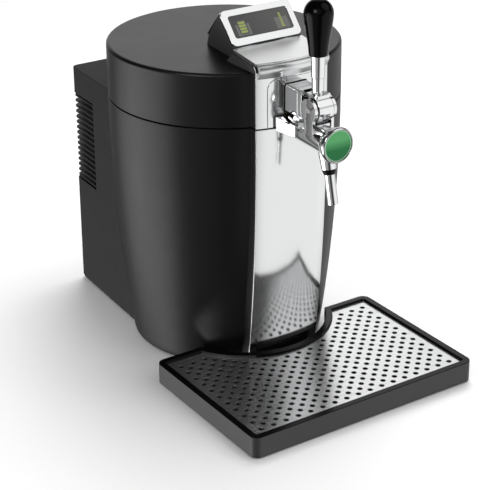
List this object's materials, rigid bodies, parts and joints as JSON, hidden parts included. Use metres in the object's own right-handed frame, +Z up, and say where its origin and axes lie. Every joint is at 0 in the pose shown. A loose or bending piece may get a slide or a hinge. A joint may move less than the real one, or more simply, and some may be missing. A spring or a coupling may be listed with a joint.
{
  "type": "mini keg beer dispenser",
  "caption": "Countertop beer dispenser for a 5 litre keg: barrel body, hinged lid with display and lever tap, rear cooler box and perforated drip tray.",
  "frame": {"origin": "on the surface it stands on, under the middle of the whole machine, tray to rear box", "axes": "+Z up, -Y towards the tap and the person who draws the beer, +X to the machine's left hand as seen from the front right"},
  "size_m": [0.304, 0.5, 0.4599],
  "materials": {
    "body_plastic": "satin",
    "lid_plastic": "satin",
    "black_plastic": "matte",
    "gloss_black": "gloss",
    "polished_metal": "polished",
    "drawn_aluminium": "satin",
    "steel": "brushed",
    "foam": "matte",
    "rubber_black": "matte",
    "liner_plastic": "satin",
    "clear_screen": "gloss",
    "green_badge": "gloss",
    "circuit_board": "satin",
    "ceramic": "matte",
    "brass_pin": "satin",
    "tube_silicone": "satin",
    "red_plastic": "gloss"
  },
  "bodies": {
    "main": {"body_shell": "body_plastic", "top_deck": "black_plastic", "keg_well": "drawn_aluminium", "well_insulation": "foam", "front_panel": "polished_metal", "base_plate": "black_plastic", "rubber_feet": "rubber_black", "base_screws": "steel", "rear_housing": "body_plastic", "louvre_grille": "black_plastic", "rear_screws": "steel", "cold_block": "drawn_aluminium", "peltier_module": "ceramic", "heat_sink": "drawn_aluminium", "fan_frame": "black_plastic", "control_board": "circuit_board", "mains_inlet": "black_plastic", "inlet_pins": "brass_pin", "switch_frame": "black_plastic", "hinge_bracket": "black_plastic", "hinge_pin": "steel"},
    "fan": {"fan_rotor": "black_plastic"},
    "rocker": {"power_rocker": "red_plastic"},
    "lid": {"lid_shell": "lid_plastic", "lid_liner": "liner_plastic", "lid_insulation": "foam", "lid_seal": "rubber_black", "lid_fascia": "polished_metal", "tap_shield": "polished_metal", "head_core": "black_plastic", "head_cover": "polished_metal", "head_back": "polished_metal", "display_bezel": "polished_metal", "display_window": "clear_screen", "display_module": "circuit_board", "tap_body": "polished_metal", "arm_cover": "polished_metal", "lever_axle": "steel", "cap_ring": "polished_metal", "badge_disc": "green_badge", "spout_collar": "gloss_black", "spout_nozzle": "polished_metal", "beer_tube": "tube_silicone", "keg_coupler": "black_plastic"},
    "lever": {"lever_hub": "polished_metal", "lever_shaft": "polished_metal", "lever_knob": "gloss_black"},
    "plunger": {"pinch_plunger": "liner_plastic"},
    "tray": {"drip_tray": "black_plastic", "tray_pads": "rubber_black"},
    "grille": {"drip_grille": "steel"}
  },
  "joints": [
    {"name": "lid_hinge", "type": "hinge", "parent": "main", "child": "lid", "pos_m": [0, 0.184, 0.3035], "axis": [-1, 0, 0], "range_deg": [0, 80]},
    {"name": "tap_lever", "type": "hinge", "parent": "lid", "child": "lever", "pos_m": [0, -0.151, 0.3375], "axis": [1, 0, 0], "range_deg": [0, 50]},
    {"name": "tube_pinch", "type": "slide", "parent": "lid", "child": "plunger", "axis": [0, 0, 1], "range_m": [0, 0.002]},
    {"name": "fan_spin", "type": "hinge", "parent": "main", "child": "fan", "pos_m": [0, 0.21598, 0.2026], "axis": [0, 1, 0], "continuous": true},
    {"name": "power_switch", "type": "hinge", "parent": "main", "child": "rocker", "pos_m": [0.046, 0.245, 0.062], "axis": [1, 0, 0], "range_deg": [0, 15]},
    {"name": "tray_slide", "type": "slide", "parent": "main", "child": "tray", "axis": [0, -1, 0], "range_m": [0, 0.06]},
    {"name": "grille_lift", "type": "slide", "parent": "tray", "child": "grille", "axis": [0, 0, 1], "range_m": [0, 0.04]}
  ],
  "couplings": [
    {"joint": "tube_pinch", "follows": "tap_lever", "m_per_rad": 0.00229}
  ]
}
